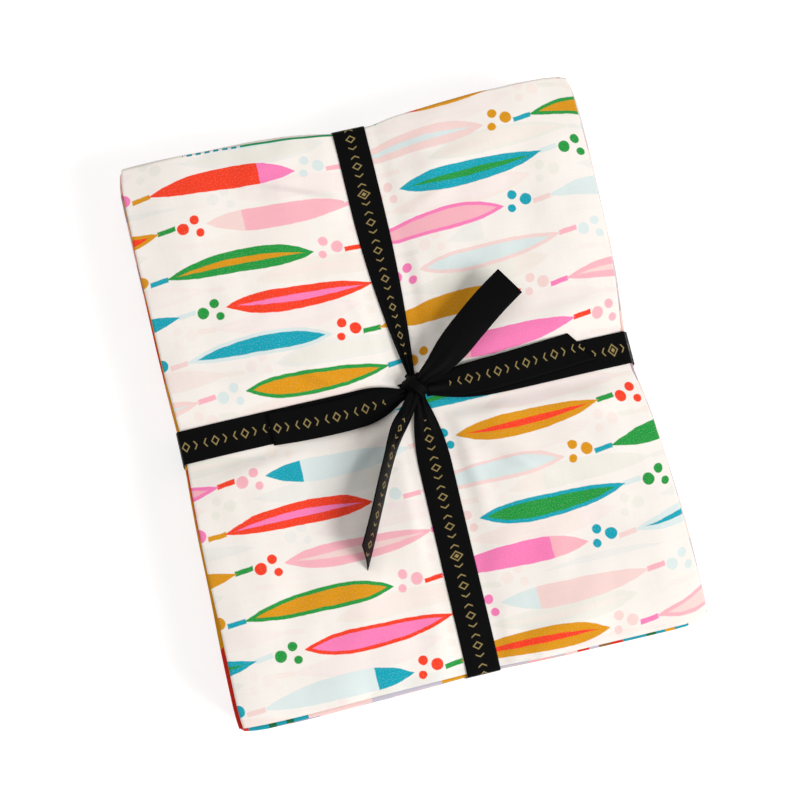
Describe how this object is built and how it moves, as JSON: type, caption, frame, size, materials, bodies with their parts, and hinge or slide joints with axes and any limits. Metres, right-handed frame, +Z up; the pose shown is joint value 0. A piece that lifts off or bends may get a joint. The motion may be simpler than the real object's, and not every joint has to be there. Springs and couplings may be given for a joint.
{
  "type": "fat quarter bundle",
  "caption": "Flat stack of folded fat quarters of quilting cotton, tied lengthwise and crosswise with narrow ribbon that is knotted on top, its cut ends left free.",
  "frame": {"origin": "under the middle of the bundle, on the surface that it lies on", "axes": "+X across the short side, from the folded edge to the raw edge; +Y along the long side, away from the second fold; +Z up, out of the knotted face"},
  "size_m": [0.2314, 0.2789, 0.0563],
  "materials": {
    "white_cotton": "matt plain-weave quilting cotton, off-white, printed with slim coloured leaves",
    "cream_cotton": "matt plain-weave quilting cotton, cream",
    "mustard_cotton": "matt plain-weave quilting cotton, mustard",
    "teal_cotton": "matt plain-weave quilting cotton, teal",
    "aqua_cotton": "matt plain-weave quilting cotton, pale aqua",
    "green_cotton": "matt plain-weave quilting cotton, green",
    "coral_cotton": "matt plain-weave quilting cotton, coral",
    "red_cotton": "matt plain-weave quilting cotton, red",
    "magenta_cotton": "matt plain-weave quilting cotton, magenta pink",
    "pink_cotton": "matt plain-weave quilting cotton, pink",
    "blush_cotton": "matt plain-weave quilting cotton, blush",
    "black_ribbon": "black woven ribbon with a soft sheen and a small gold running ornament"
  },
  "bodies": {
    "root": {"fat_quarter_01": "teal_cotton", "fat_quarter_02": "coral_cotton", "fat_quarter_03": "cream_cotton", "fat_quarter_04": "mustard_cotton", "fat_quarter_05": "aqua_cotton", "fat_quarter_06": "pink_cotton", "fat_quarter_07": "green_cotton", "fat_quarter_08": "blush_cotton", "fat_quarter_09": "red_cotton", "fat_quarter_10": "cream_cotton", "fat_quarter_11": "teal_cotton", "fat_quarter_12": "magenta_cotton", "fat_quarter_13": "mustard_cotton", "fat_quarter_14": "green_cotton", "fat_quarter_15": "coral_cotton", "fat_quarter_16": "aqua_cotton", "fat_quarter_17": "blush_cotton", "fat_quarter_18": "red_cotton", "fat_quarter_19": "mustard_cotton", "fat_quarter_20": "white_cotton", "ribbon_lengthwise": "black_ribbon", "ribbon_crosswise": "black_ribbon", "ribbon_knot": "black_ribbon", "ribbon_end_right": "black_ribbon", "ribbon_end_left": "black_ribbon", "ribbon_end_raised": "black_ribbon", "ribbon_end_edgewise": "black_ribbon"}
  },
  "joints": []
}
